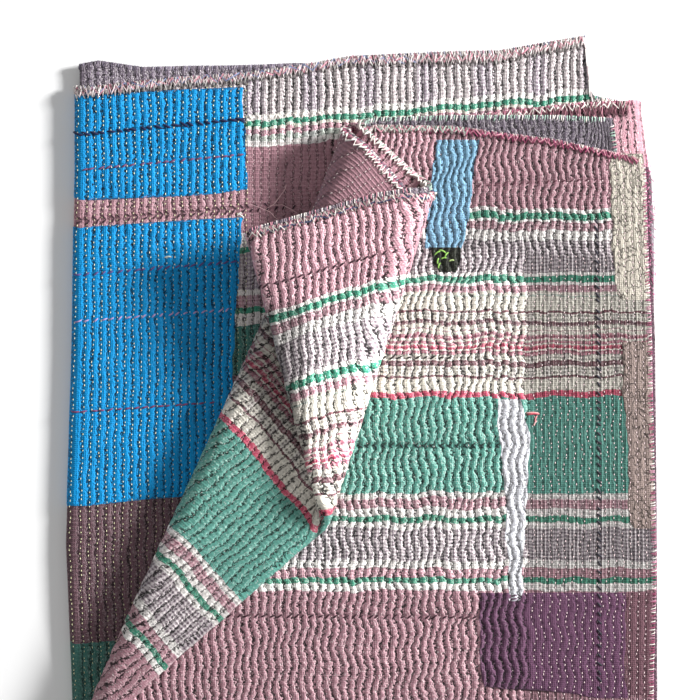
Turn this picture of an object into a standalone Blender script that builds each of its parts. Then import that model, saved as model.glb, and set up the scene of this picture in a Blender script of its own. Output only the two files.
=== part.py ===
"""A hand-quilted kantha quilt, folded: once end to end, four times from side to side, its top corner turned over.

Lengths are in millimetres and become metres when the mesh is written. The quilt is one cloth with a striped
front and a plain back. It is made flat, as a thin slab, and then folded. On the flat cloth u runs across the
quilt from the first side hem, v runs away from the end fold (positive in half A, negative in half B), and t is
the height above the middle of the cloth, positive on the front.
"""

import math
from collections import namedtuple

import bmesh
import bpy
from mathutils import Matrix, Vector

MM = 0.001

# The cloth and how closely it is stacked.
THICKNESS = 2.0
GAP = 0.7
PLY = THICKNESS + GAP

# The bundle: four panels side to side, two plies in each, from T on top through U and V to W on the floor.
PANEL = 375.0
PANELS = 4
T, U, V, W = range(PANELS)
LEFT = -187.5
BOTTOM = -270.0
SIDE_ARC = math.pi * PLY / 2  # half the cloth that a side fold takes
END_ARC = math.pi * PLY / 4  # half the cloth that the end fold takes
LEFT_CENTRE = LEFT + 1.5 * PLY + THICKNESS / 2
RIGHT_CENTRE = LEFT_CENTRE + PANEL - 2 * SIDE_ARC
END_CENTRE = BOTTOM + PLY / 2 + THICKNESS / 2

# The end hems: how far up the bundle each half reaches, at places across the flat quilt.
Hem = namedtuple("Hem", "u half_a half_b")
HEMS = (
    Hem(0, 196, 213),
    Hem(60, 206, 222),
    Hem(130, 215, 222),
    Hem(200, 216, 220),
    Hem(290, 229, 232),
    Hem(375, 231, 233),
    Hem(480, 213, 216),
    Hem(550, 212, 213),
    Hem(700, 228, 230),
    Hem(750, 230, 232),
    Hem(782, 235, 233),
    Hem(786, 236, 234),
    Hem(790, 274, 268),
    Hem(823, 268, 262),
    Hem(849, 263, 257),
    Hem(946, 261, 256),
    Hem(982, 255, 258),
    Hem(1017, 250, 257),
    Hem(1050, 248, 256),
    Hem(1081, 245, 254),
    Hem(1110, 241, 257),
    Hem(1125, 240, 254),
    Hem(1300, 242, 246),
    Hem(1500, 234, 238),
)

# The side hems: how far each is set in from a true edge, at places along the flat quilt.
Selvedge = namedtuple("Selvedge", "v first last")
SELVEDGES = (
    Selvedge(-490, 22, 6),
    Selvedge(-330, 16, 9),
    Selvedge(-160, 9, 4),
    Selvedge(0, 4, 3),
    Selvedge(130, 3, 5),
    Selvedge(200, 1, 8),
    Selvedge(330, 3, 5),
    Selvedge(464, 3, 3),
)

# A crease that rolls part of the top two panels over, as a cone: its axis runs from foot to head, lifts is the
# side of it that is rolled up, stack is the height of the middle of what is rolled, mouth is how far panel U
# stands off panel T at the open end, and sink is the share of the hollow under the corner that it sinks into.
Crease = namedtuple("Crease", "foot head lifts foot_height head_height foot_stack head_stack spread mouth sink")


def ply_height(level):
    """The middle of a ply of the flat stack: 0 is on the floor and 7 is the top one."""
    return THICKNESS / 2 + level * PLY


MAIN = Crease(
    foot=Vector((-205.0, -247.0)), head=Vector((13.4, 228.3)), lifts=Vector((-1.0, 0.0)),
    foot_height=ply_height(7.5), head_height=ply_height(7.5) + 2.7,
    foot_stack=ply_height(5.5), head_stack=ply_height(5.5), spread=0.1, mouth=8.0, sink=0.8,
)
BACK = Crease(
    foot=Vector((-32.6, -35.9)), head=Vector((32.1, 186.8)), lifts=Vector((1.0, 0.0)),
    foot_height=34.0, head_height=39.5,
    foot_stack=27.7, head_stack=30.5, spread=0.05, mouth=0.0, sink=0.25,
)
CREASE_STEPS = 6
SINK_REACH = 32.0
MOUTH_REACH = 36.0
MOUTH_FROM = 0.82
SIDE_STEPS = 4
END_STEPS = 4

# Rows and columns that let the plies lie unevenly.
ROWS = 8
COLUMNS = 4

# Quilting: ribs of running stitch along the quilt, raised where the front shows.
RIB_PITCH = 5.6
RIB_RISE = 0.45
V_RIBS_FROM = 180.0  # above this height the whole of panel V shows
ON_LINE = 0.004  # how near to a crest or valley counts as on it, in half pitches

# How the sides of the bundle wander, at heights up it: out from a true edge, for the lower and the upper plies.
Wander = namedtuple("Wander", "y left_low right_low right_high")
WANDERS = (
    Wander(-270, -2, 2, 0),
    Wander(-150, 0, 4, 1),
    Wander(-55, 4, 3, 1),
    Wander(75, 0, 1, 0),
    Wander(150, -1, 2, -3),
    Wander(185, -2, 0, -4),
    Wander(203, -2, -5, -6),
    Wander(226, -2, -9, -9),
    Wander(275, -2, -9, -9),
)
SETTLE_REACH = 120.0

# The plies swell by this share, and the lower ones lean along the bundle, in slow waves.
SWELL = 0.05
SWELL_ACROSS = 61.0
SWELL_ALONG = 83.0
LEAN = 2.0
LEAN_ACROSS = 47.0

COTTON = (0.45, 0.24, 0.29, 1.0)


def along_table(table, place, column):
    """The value of a column of a table at a place, in straight lines between its rows."""
    for low, high in zip(table, table[1:]):
        if place <= high[0] or high is table[-1]:
            share = min(max((place - low[0]) / (high[0] - low[0]), 0.0), 1.0)
            return getattr(low, column) * (1 - share) + getattr(high, column) * share


def v_at(height, half):
    """Where on the flat cloth a height up the bundle lies, in half A (1) or B (-1)."""
    return half * (height - END_CENTRE + END_ARC)


def outline():
    """The edge of the flat cloth: half A's hem, the last side, half B's hem and the first side."""
    last = PANEL * PANELS
    hem_a = [(row.u, v_at(row.half_a, 1)) for row in HEMS[1:-1]]
    hem_b = [(row.u, v_at(row.half_b, -1)) for row in HEMS[1:-1]]
    first_side = [(row.first, row.v) for row in SELVEDGES]
    last_side = [(last - row.last, row.v) for row in SELVEDGES]
    return hem_a + last_side[::-1] + hem_b[::-1] + first_side


def slab(edge):
    """The flat cloth as a closed slab."""
    mesh = bmesh.new()
    base = mesh.faces.new([mesh.verts.new((u, v, -THICKNESS / 2)) for u, v in edge])
    grown = bmesh.ops.extrude_face_region(mesh, geom=[base])["geom"]
    for item in grown:
        if isinstance(item, bmesh.types.BMVert):
            item.co.z = THICKNESS / 2
    bmesh.ops.recalc_face_normals(mesh, faces=mesh.faces)
    return mesh


def cut(mesh, faces, start, end):
    """Gives the chosen faces an edge wherever the upright plane through start and end crosses them."""
    run = Vector((end[0] - start[0], end[1] - start[1], 0.0))
    chosen = set(faces)
    for face in faces:
        chosen.update(face.edges)
        chosen.update(face.verts)
    across = Vector((run.y, -run.x, 0.0)).normalized()
    bmesh.ops.bisect_plane(
        mesh, geom=list(chosen), dist=0.01, plane_co=Vector((start[0], start[1], 0.0)), plane_no=across
    )


def panel_of(u):
    return min(max(int(u // PANEL), 0), PANELS - 1)


def on_ply(face, panel, half):
    """Whether a face lies in a panel of one half. A face on the rim has its middle there too."""
    middle = face.calc_center_median()
    return panel_of(middle.x) == panel and middle.y * half > 0


def crease_frame(crease):
    """The unit vector along a crease, the one square to it towards the rolled side, and its length."""
    run = crease.head - crease.foot
    along = run.normalized()
    square = Vector((-along.y, along.x))
    if square.dot(crease.lifts) < 0:
        square = -square
    return along, square, run.length


def bend_radius(crease, share):
    """The radius at which the middle of the rolled stack bends, at a share of the way from foot to head."""
    height = crease.foot_height * (1 - share) + crease.head_height * share
    stack = crease.foot_stack * (1 - share) + crease.head_stack * share
    return height - stack


def crease_point(crease, along_share, turn_share, past=0.0):
    """A point of the cloth before it is rolled, that comes to rest at a share of the turn or past it."""
    along, square, length = crease_frame(crease)
    reach = bend_radius(crease, along_share) * math.pi * turn_share + past
    return crease.foot + along * (length * along_share) + square * reach


def before_main(point):
    """Where a point seen on the turned corner lay before the main crease rolled it over."""
    along, square, length = crease_frame(MAIN)
    offset = point - MAIN.foot
    share = offset.dot(along) / length
    reach = bend_radius(MAIN, share) * math.pi - offset.dot(square)
    return MAIN.foot + along * (share * length) + square * reach


def laid_flat(point, panel, half):
    """The flat cloth's u and v under a point of panel T or U."""
    if panel == T:
        u = LEFT_CENTRE + PANEL - SIDE_ARC - point.x
    else:
        u = point.x - LEFT_CENTRE + PANEL + SIDE_ARC
    return u, v_at(point.y, half)


def stood_up(u, v):
    """The point of the bundle over a u and v of the flat cloth, before the corner is turned."""
    panel = panel_of(u)
    from_left = PANEL * (panel + 1) - u if panel in (T, V) else u - PANEL * panel
    return Vector((LEFT_CENTRE - SIDE_ARC + from_left, abs(v) - END_ARC + END_CENTRE))


def main_reach(point):
    """How far past the end of the main crease's bend a point lies: positive on the turned corner."""
    along, square, length = crease_frame(MAIN)
    offset = point - MAIN.foot
    return offset.dot(square) - bend_radius(MAIN, offset.dot(along) / length) * math.pi


def back_reach(point):
    """How far past the end of the second crease's bend a point of the turned corner lies."""
    along, square, length = crease_frame(MAIN)
    offset = point - MAIN.foot
    turned = MAIN.foot + along * offset.dot(along) - square * main_reach(point)
    along, square, length = crease_frame(BACK)
    offset = turned - BACK.foot
    return offset.dot(square) - bend_radius(BACK, offset.dot(along) / length) * math.pi


def is_lifted(face):
    """Whether a face lies on the side of the main crease that is rolled up."""
    along, square, length = crease_frame(MAIN)
    return (stood_up(*face.calc_center_median().xy) - MAIN.foot).dot(square) > 0


def cut_grid(mesh):
    """Edges at every fold of the bundle, and the rows and columns between them."""
    far = PANEL * PANELS
    for fold in range(1, PANELS):
        for step in range(SIDE_STEPS + 1):
            u = fold * PANEL + SIDE_ARC * (2 * step / SIDE_STEPS - 1)
            cut(mesh, list(mesh.faces), (u, -far), (u, far))
    for panel in range(PANELS):
        for column in range(1, COLUMNS):
            u = PANEL * (panel + column / COLUMNS)
            cut(mesh, list(mesh.faces), (u, -far), (u, far))
    for step in range(END_STEPS + 1):
        v = END_ARC * (2 * step / END_STEPS - 1)
        cut(mesh, list(mesh.faces), (0, v), (far, v))
    for half in (1, -1):
        for row in range(1, ROWS):
            v = half * v_at(HEMS[0].half_a, 1) * row / ROWS
            cut(mesh, list(mesh.faces), (0, v), (far, v))


def cut_creases(mesh):
    """Edges in the four plies of panels T and U where the two slanting creases bend them."""
    lines = [(step / CREASE_STEPS, 0.0) for step in range(CREASE_STEPS + 1)]
    lines += [(1.0, SINK_REACH / 2), (1.0, SINK_REACH)]
    for panel in (T, U):
        for half in (1, -1):
            for share in (MOUTH_FROM, (1 + MOUTH_FROM) / 2):
                faces = [face for face in mesh.faces if on_ply(face, panel, half) and is_lifted(face)]
                ends = [crease_point(MAIN, share, turn) for turn in (0, 1)]
                cut(mesh, faces, *[laid_flat(end, panel, half) for end in ends])
            for turn, past in lines:
                faces = [face for face in mesh.faces if on_ply(face, panel, half)]
                ends = [crease_point(MAIN, share, turn, past) for share in (0, 1)]
                cut(mesh, faces, *[laid_flat(end, panel, half) for end in ends])
            for turn, past in lines:
                faces = [
                    face for face in mesh.faces if on_ply(face, panel, half) and
                    main_reach(stood_up(*face.calc_center_median().xy)) > 0
                ]
                ends = [before_main(crease_point(BACK, share, turn, past)) for share in (0, 1)]
                cut(mesh, faces, *[laid_flat(end, panel, half) for end in ends])


def shows(face):
    """Whether a face is on the front of the cloth where the folded quilt shows it."""
    middle = face.calc_center_median()
    if face.normal.z < 0.5 or middle.y < END_ARC:
        return False
    panel = panel_of(middle.x)
    if panel == W or abs(middle.x - PANEL * round(middle.x / PANEL)) < SIDE_ARC:
        return False
    place = stood_up(middle.x, middle.y)
    turned = main_reach(place) > 0
    if panel == T:
        return not is_lifted(face) or (turned and back_reach(place) > 0)
    if panel == U:
        return turned and back_reach(place) < -BACK_BEND
    return is_lifted(face) or place.y > V_RIBS_FROM


BACK_BEND = bend_radius(BACK, 0.5) * math.pi


def cut_ribs(mesh):
    """Edges along the crests and the valleys of the quilting, on the front where it shows."""
    faces = [face for face in mesh.faces if on_ply(face, V, 1) and face.normal.z > 0.5]
    ends = [MAIN.foot, MAIN.head]
    cut(mesh, faces, *[(laid_flat(end, T, 1)[0] + 2 * PANEL, v_at(end.y, 1)) for end in ends])
    faces = [face for face in mesh.faces if on_ply(face, V, 1) and face.normal.z > 0.5]
    cut(mesh, faces, (0, v_at(V_RIBS_FROM, 1)), (PANEL, v_at(V_RIBS_FROM, 1)))
    for line in range(1, int(2 * PANEL * PANELS / RIB_PITCH)):
        u = line * RIB_PITCH / 2
        faces = [face for face in mesh.faces if shows(face)
                 and min(vert.co.x for vert in face.verts) < u < max(vert.co.x for vert in face.verts)]
        cut(mesh, faces, (u, 0), (u, PANEL))


def raise_ribs(mesh):
    """Lifts the crests of the quilting and sinks its valleys."""
    for vert in mesh.verts:
        line = vert.co.x / (RIB_PITCH / 2)
        on_line = abs(line - round(line)) < ON_LINE
        if on_line and vert.co.z > 0 and any(shows(face) for face in vert.link_faces):
            vert.co.z += RIB_RISE * (1 if round(line) % 2 else -1)


def end_fold(v, t):
    """Carries a point round the end fold: its height up the bundle and its offset in the double ply."""
    radius = PLY / 2 + t
    if abs(v) < END_ARC:
        angle = v / END_ARC * math.pi / 2
        return END_CENTRE - radius * math.cos(angle), radius * math.sin(angle)
    return END_CENTRE + abs(v) - END_ARC, math.copysign(radius, v)


def side_folds(u, offset):
    """Carries a point back and forth through the panels: its place across the bundle and its height."""
    fold = round(u / PANEL)
    near = 1 <= fold < PANELS and abs(u - fold * PANEL) < SIDE_ARC
    if near:
        angle = (u - fold * PANEL + SIDE_ARC) / (2 * SIDE_ARC) * math.pi
        height = ply_height(7.5 - 2 * fold)
        if fold % 2:
            radius = PLY + offset
            return LEFT_CENTRE - radius * math.sin(angle), height + radius * math.cos(angle)
        radius = PLY - offset
        return RIGHT_CENTRE + radius * math.sin(angle), height + radius * math.cos(angle)
    panel = panel_of(u)
    height = ply_height(6.5 - 2 * panel)
    x = stood_up(u, 0).x
    return x, height + (offset if panel in (T, V) else -offset)


def ease(share):
    """A share from 0 to 1 that starts and ends gently."""
    share = min(max(share, 0.0), 1.0)
    return share * share * (3 - 2 * share)


def roll(crease, point, lean, stands_off):
    """Rolls a point of the cloth's middle over a crease, and turns lean, its offset to the surface, with it."""
    along, square, length = crease_frame(crease)
    offset = point.xy - crease.foot
    reach = offset.dot(square)
    if reach <= 0:
        return point, lean, False
    share = offset.dot(along) / length
    height = crease.foot_height * (1 - share) + crease.head_height * share
    middle = bend_radius(crease, share)
    angle = min(reach / middle, math.pi)
    up = max(share, 0.0)
    spread = 1 + crease.spread * up * angle / math.pi
    past = reach - middle * angle
    opens = ease((share - MOUTH_FROM) / (1 - MOUTH_FROM))
    mouth = crease.mouth * opens * stands_off * ease(angle / math.pi) * (1 - ease(past / MOUTH_REACH))
    radius = (height - point.z) * spread + mouth
    hollow = 2 * (middle - 1.5 * PLY) * spread - PLY
    sunk = crease.sink * hollow * ease(past / SINK_REACH)
    flat = crease.foot + along * (share * length) + square * (radius * math.sin(angle) - past)
    axis = along.to_3d()
    sense = 1 if axis.cross(Vector((0, 0, 1))).dot(square.to_3d()) < 0 else -1
    turned = Matrix.Rotation(sense * angle, 3, axis) @ lean
    return Vector((flat.x, flat.y, height - radius * math.cos(angle) - sunk)), turned, angle >= math.pi


def settle(point):
    """Lets the bundle lie unevenly: its sides wander and its plies swell, while its underside stays flat."""
    high = min(max((point.z - 3 * PLY) / PLY, 0.0), 1.0)
    right = (along_table(WANDERS, point.y, "right_low") * (1 - high)
             + along_table(WANDERS, point.y, "right_high") * high)
    left = along_table(WANDERS, point.y, "left_low")
    near_left = max(0.0, 1 - (point.x - LEFT) / SETTLE_REACH) ** 2 if point.x > LEFT else 1.0
    near_right = max(0.0, 1 - (-LEFT - point.x) / SETTLE_REACH) ** 2 if point.x < -LEFT else 1.0
    swell = 1 + SWELL * math.sin(point.x / SWELL_ACROSS + 1) * math.cos(point.y / SWELL_ALONG)
    x = point.x - left * near_left + right * near_right
    y = point.y + LEAN * math.sin(point.x / LEAN_ACROSS) * (1 - high)
    return Vector((x, y, point.z * swell))


def folded(flat):
    """The place in the bundle of a point of the flat cloth."""
    points = []
    for t in (0.0, flat.z):
        y, offset = end_fold(flat.y, t)
        x, z = side_folds(flat.x, offset)
        points.append(Vector((x, y, z)))
    middle, lean = points[0], points[1] - points[0]
    if flat.x < 2 * PANEL - SIDE_ARC:
        stands_off = ease((flat.x - PANEL) / MOUTH_REACH)
        middle, lean, over = roll(MAIN, middle, lean, stands_off)
        if over:
            middle, lean, over = roll(BACK, middle, lean, stands_off)
    return settle(middle + lean)


def cotton():
    """Plain-woven cotton, washed soft."""
    material = bpy.data.materials.new("washed_cotton")
    material.use_nodes = True
    shader = material.node_tree.nodes["Principled BSDF"]
    shader.inputs["Base Color"].default_value = COTTON
    shader.inputs["Roughness"].default_value = 0.9
    shader.inputs["Metallic"].default_value = 0.0
    return material


def quilt():
    """The whole quilt, folded, standing over the origin on its lowest ply."""
    mesh = slab(outline())
    cut_grid(mesh)
    cut_creases(mesh)
    cut_ribs(mesh)
    mesh.normal_update()
    raise_ribs(mesh)
    bmesh.ops.triangulate(mesh, faces=mesh.faces)
    for vert in mesh.verts:
        vert.co = folded(vert.co) * MM
    corners = [[fn(vert.co[axis] for vert in mesh.verts) for fn in (min, max)] for axis in range(3)]
    centre = Vector((sum(corners[0]) / 2, sum(corners[1]) / 2, corners[2][0]))
    for vert in mesh.verts:
        vert.co -= centre
    bmesh.ops.reverse_faces(mesh, faces=mesh.faces)  # u runs to the left on the top ply, so folding mirrors
    data = bpy.data.meshes.new("quilt_cloth")
    mesh.to_mesh(data)
    mesh.free()
    data.shade_smooth()
    data.set_sharp_from_angle(angle=math.radians(40))
    cloth = bpy.data.objects.new("quilt_cloth", data)
    data.materials.append(cotton())
    bpy.context.collection.objects.link(cloth)
    return cloth


for old in list(bpy.data.objects):
    bpy.data.objects.remove(old)
quilt()
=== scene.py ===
"""The looks of a folded kantha quilt: striped cotton faces, a slate back, patches, hems and hand stitches.

Sizes are in millimetres and become metres when a mesh is written. The cloth is described flat: u runs across
the quilt from its first side hem, v runs away from the end fold (positive in half A, negative in half B), and t
is the height above the middle of the cloth, positive on the striped front. bundle() folds any such point.
"""
from collections import namedtuple
from functools import partial

import bpy
import numpy as np
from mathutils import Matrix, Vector


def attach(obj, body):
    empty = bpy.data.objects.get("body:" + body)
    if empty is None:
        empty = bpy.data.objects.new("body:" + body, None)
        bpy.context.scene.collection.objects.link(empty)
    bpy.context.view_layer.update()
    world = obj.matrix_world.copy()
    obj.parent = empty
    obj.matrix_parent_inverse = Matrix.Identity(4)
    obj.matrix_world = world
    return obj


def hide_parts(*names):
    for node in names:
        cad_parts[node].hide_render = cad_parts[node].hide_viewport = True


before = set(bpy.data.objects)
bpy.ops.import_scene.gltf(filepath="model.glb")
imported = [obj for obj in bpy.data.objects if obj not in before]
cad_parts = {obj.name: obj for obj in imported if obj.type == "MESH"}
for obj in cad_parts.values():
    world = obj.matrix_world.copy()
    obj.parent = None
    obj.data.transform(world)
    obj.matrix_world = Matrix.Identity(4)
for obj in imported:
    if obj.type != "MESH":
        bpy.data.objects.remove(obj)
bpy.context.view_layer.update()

MM = 0.001
NODE = "quilt_cloth"


def table(fields, *rows):
    """Rows whose values are known by the names of their fields."""
    row = namedtuple("row", fields)
    return tuple(row(*values) for values in rows)


# The cloth and its stacking, as in the solid.
THICKNESS = 2.0
PLY = THICKNESS + 0.7
PANEL = 375.0
PANELS = 4
T, U, V, W = range(PANELS)  # the panels from the top one down
LEFT = -187.5
BOTTOM = -270.0
SIDE_ARC = np.pi * PLY / 2
END_ARC = np.pi * PLY / 4
LEFT_CENTRE = LEFT + 1.5 * PLY + THICKNESS / 2
RIGHT_CENTRE = LEFT_CENTRE + PANEL - 2 * SIDE_ARC
END_CENTRE = BOTTOM + PLY / 2 + THICKNESS / 2
MIDDLE = (0.32, 1.07)  # the middle of the bundle's footprint in its own sizes, which stands at the origin

# The end hems: how far up the bundle each half reaches, at places across the flat quilt.
HEMS = table(
    "u half_a half_b",
    (0, 196, 213), (60, 206, 222), (130, 215, 222), (200, 216, 220), (290, 229, 232), (375, 231, 233),
    (480, 213, 216), (550, 212, 213), (700, 228, 230), (750, 230, 232), (782, 235, 233), (786, 236, 234),
    (790, 274, 268), (823, 268, 262), (849, 263, 257), (946, 261, 256), (982, 255, 258), (1017, 250, 257),
    (1050, 248, 256), (1081, 245, 254), (1110, 241, 257), (1125, 240, 254), (1300, 242, 246), (1500, 234, 238),
)

# The side hems: how far each is set in from a true edge, at places along the flat quilt.
SELVEDGES = table(
    "v first last",
    (-490, 22, 6), (-330, 16, 9), (-160, 9, 4), (0, 4, 3), (130, 3, 5), (200, 1, 8), (330, 3, 5), (464, 3, 3),
)

# How the sides of the bundle wander, at heights up it, for the lower and the upper plies.
WANDERS = table(
    "y left_low right_low right_high",
    (-270, -2, 2, 0), (-150, 0, 4, 1), (-55, 4, 3, 1), (75, 0, 1, 0), (150, -1, 2, -3), (185, -2, 0, -4),
    (203, -2, -5, -6), (226, -2, -9, -9), (275, -2, -9, -9),
)


def ply_height(level):
    """The middle of a ply of the flat stack: 0 is on the floor and 7 is the top one."""
    return THICKNESS / 2 + level * PLY


# The two slanting creases, each a cone from foot to head, as in the solid.
Crease = namedtuple("Crease", "foot head lifts foot_height head_height foot_stack head_stack spread mouth sink")
MAIN = Crease(
    foot=np.array((-205.0, -247.0)), head=np.array((13.4, 228.3)), lifts=np.array((-1.0, 0.0)),
    foot_height=ply_height(7.5), head_height=ply_height(7.5) + 2.7,
    foot_stack=ply_height(5.5), head_stack=ply_height(5.5), spread=0.1, mouth=8.0, sink=0.8,
)
BACK = Crease(
    foot=np.array((-32.6, -35.9)), head=np.array((32.1, 186.8)), lifts=np.array((1.0, 0.0)),
    foot_height=34.0, head_height=39.5, foot_stack=27.7, head_stack=30.5, spread=0.05, mouth=0.0, sink=0.25,
)
SINK_REACH = 32.0
MOUTH_REACH = 36.0
MOUTH_FROM = 0.82
SETTLE_REACH = 120.0
SWELL = 0.05  # the share by which the plies stand higher or lower, in waves across and along the bundle
SWELL_ACROSS = 61.0
SWELL_ALONG = 83.0
LOW_PLIES = 3  # that lie otherwise than the rest
SHIFT = 2.0  # how far they slid along the bundle, in waves across it
SHIFT_ACROSS = 47.0


def column(table, name, place):
    """A column of a table at any places, in straight lines between its rows."""
    return np.interp(place, [row[0] for row in table], [getattr(row, name) for row in table])


def mix(low, high, share):
    return low * (1 - share) + high * share


def ease(share):
    """A share from 0 to 1 that starts and ends gently."""
    share = np.clip(share, 0.0, 1.0)
    return share * share * (3 - 2 * share)


def v_at(height):
    """How far from the end fold, on the flat cloth, a height up the bundle lies."""
    return height - END_CENTRE + END_ARC


def u_across(x, panel):
    """Where on the flat cloth a place across panel T or V lies."""
    return PANEL * (panel + 1) + LEFT_CENTRE - SIDE_ARC - x


def end_fold(v, t):
    """Carries points round the end fold: the height up the bundle and the offset in the double ply."""
    radius = PLY / 2 + t
    angle = np.clip(v / END_ARC, -1, 1) * np.pi / 2
    past = np.maximum(np.abs(v) - END_ARC, 0)
    return END_CENTRE - radius * np.cos(angle) + past, radius * np.sin(angle)


def side_folds(u, offset):
    """Carries points back and forth through the panels: the place across the bundle and the height."""
    fold = np.round(u / PANEL)
    near = (fold >= 1) & (fold < PANELS) & (np.abs(u - fold * PANEL) < SIDE_ARC)
    angle = (u - fold * PANEL + SIDE_ARC) / (2 * SIDE_ARC) * np.pi
    at_left = fold % 2 == 1
    radius = np.where(at_left, PLY + offset, PLY - offset)
    bent_x = np.where(at_left, LEFT_CENTRE - radius * np.sin(angle), RIGHT_CENTRE + radius * np.sin(angle))
    bent_z = ply_height(7.5 - 2 * fold) + radius * np.cos(angle)
    panel = np.clip(u // PANEL, 0, PANELS - 1)
    outward = panel % 2 == 0
    from_left = np.where(outward, PANEL * (panel + 1) - u, u - PANEL * panel)
    flat_x = LEFT_CENTRE - SIDE_ARC + from_left
    flat_z = ply_height(6.5 - 2 * panel) + np.where(outward, offset, -offset)
    return np.where(near, bent_x, flat_x), np.where(near, bent_z, flat_z)


def crease_frame(crease):
    """The unit vector along a crease, the one square to it towards the rolled side, and its length."""
    run = crease.head - crease.foot
    length = np.hypot(*run)
    along = run / length
    square = np.array((-along[1], along[0]))
    if square @ crease.lifts < 0:
        square = -square
    return along, square, length


def roll(crease, point, lean, stands_off, takes):
    """Rolls points of the cloth's middle over a crease, and turns lean, their offset to the surface, too."""
    along, square, length = crease_frame(crease)
    offset = point[..., :2] - crease.foot
    reach = np.where(takes, offset @ square, -1.0)
    share = offset @ along / length
    height = mix(crease.foot_height, crease.head_height, share)
    middle = height - mix(crease.foot_stack, crease.head_stack, share)
    angle = np.clip(reach / middle, 0, np.pi)
    spread = 1 + crease.spread * np.maximum(share, 0) * angle / np.pi
    past = reach - middle * angle
    opens = ease((share - MOUTH_FROM) / (1 - MOUTH_FROM))
    mouth = crease.mouth * opens * stands_off * ease(angle / np.pi) * (1 - ease(past / MOUTH_REACH))
    radius = (height - point[..., 2]) * spread + mouth
    hollow = 2 * (middle - 1.5 * PLY) * spread - PLY
    sunk = crease.sink * hollow * ease(past / SINK_REACH)
    flat = crease.foot + (share * length)[..., None] * along
    flat = flat + (radius * np.sin(angle) - past)[..., None] * square
    rolled = np.concatenate([flat, (height - radius * np.cos(angle) - sunk)[..., None]], axis=-1)
    axis = np.array((along[0], along[1], 0.0))
    sense = 1 if np.cross(axis, (0, 0, 1))[:2] @ square < 0 else -1
    cosine, sine = np.cos(angle)[..., None], (sense * np.sin(angle))[..., None]
    turned = lean * cosine + np.cross(axis, lean) * sine + axis * (lean @ axis)[..., None] * (1 - cosine)
    rolls = (reach > 0)[..., None]
    return np.where(rolls, rolled, point), np.where(rolls, turned, lean), takes & (angle >= np.pi)


def settle(point):
    """Lets the bundle lie unevenly: its sides wander and its plies swell, while its underside stays flat."""
    x, y, z = point[..., 0], point[..., 1], point[..., 2]
    high = np.clip((z - LOW_PLIES * PLY) / PLY, 0, 1)
    right = mix(column(WANDERS, "right_low", y), column(WANDERS, "right_high", y), high)
    left = column(WANDERS, "left_low", y)
    near_left = np.clip(1 - (x - LEFT) / SETTLE_REACH, 0, 1) ** 2
    near_right = np.clip(1 - (-LEFT - x) / SETTLE_REACH, 0, 1) ** 2
    swell = 1 + SWELL * np.sin(x / SWELL_ACROSS + 1.0) * np.cos(y / SWELL_ALONG)
    moved = x - left * near_left + right * near_right
    return np.stack([moved, y + SHIFT * np.sin(x / SHIFT_ACROSS) * (1 - high), z * swell], axis=-1)


def bundle(u, v, t):
    """The places in the folded bundle, in metres, of points of the flat cloth."""
    u, v, t = np.broadcast_arrays(*(np.asarray(value, float) for value in (u, v, t)))
    middle, surface = (np.stack([x, y, z], axis=-1) for y, (x, z) in (
        (y, side_folds(u, offset)) for y, offset in (end_fold(v, 0 * t), end_fold(v, t))))
    lean = surface - middle
    takes = u < 2 * PANEL - SIDE_ARC
    stands_off = ease((u - PANEL) / MOUTH_REACH)
    middle, lean, takes = roll(MAIN, middle, lean, stands_off, takes)
    middle, lean, takes = roll(BACK, middle, lean, stands_off, takes)
    place = settle(middle + lean)
    place[..., 2] = np.maximum(place[..., 2], 0)  # the underside lies flat
    return (place - (*MIDDLE, 0.0)) * MM


# ---- The quilting: rows of running stitch up the cloth, and the ribs that they draw up between them. ----

RIB_PITCH = 5.2
RIB_RISE = 1.3  # from the valley where the stitches lie to the crest of a rib
PUCKER_PITCH = 4.6  # a stitch and the gap after it
PUCKER_RISE = 0.16
OUT_OF_STEP = 2.3  # how far, as an angle, a rib's puckers are behind its neighbour's
SWELL_RISE = 0.15  # a rib is fuller and flatter by turns, over this length
SWELL_LENGTH = 7.0
FULLNESS = 0.75  # below 1 the crests are rounder than the valleys
COLUMN = RIB_PITCH / 4  # columns of points keep to the crests, flanks and valleys of the ribs
ROW = 1.5
HEM_WIDTH = 6.0
HEM_RISE = 0.35
EDGE_BLEND = 40.0

# Where the quilting is drawn up less, and where the cloth is darker or paler: the ribs' share of their full height
# and the tone in parts of the flat cloth. The tone is partly the cloth's own uneven colour and partly painted light
# and shade: painted paler on the top of the turned-over corner, as lit, and painted darker on panel U beside that
# corner, as its shade. A row goes over the ones before it.
SLACKS = table(
    "u_from u_to v_from v_to ribs tone",
    (-20, 84, -20, 404, 0.28, 0.42), (-20, 150, 404, 520, 0.9, 0.66), (84, 330, -20, 186, 1.0, 0.8),
    (84, 375, 228, 312, 1.0, 0.9), (240, 378, 318, 520, 0.92, 1.3), (250, 376, 340, 428, 0.9, 1.85),
    (-20, 27, 400, 520, 0.35, 1.0), (-20, 360, -520, -440, 1.0, 0.85), (375, 760, 190, 330, 0.65, 0.88),
    (375, 760, -20, 190, 0.85, 0.76), (765, 1140, -540, -440, 1.0, 1.3), (430, 760, 330, 500, 0.65, 0.88),
    (376, 560, 326, 450, 0.8, 0.52), (445, 640, 395, 520, 0.15, 0.66), (760, 1016, -20, 470, 0.5, 0.8),
    (960, 1016, 395, 478, 0.25, 0.86), (1016, 1140, -20, 410, 0.55, 0.72), (1016, 1140, 410, 520, 0.7, 0.9),
    (1140, 1520, -20, 500, 0.5, 0.8), (746.5, 765, -470, -380, 1.0, 0.7),
)
SLACK_BLEND = 9.0

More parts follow.
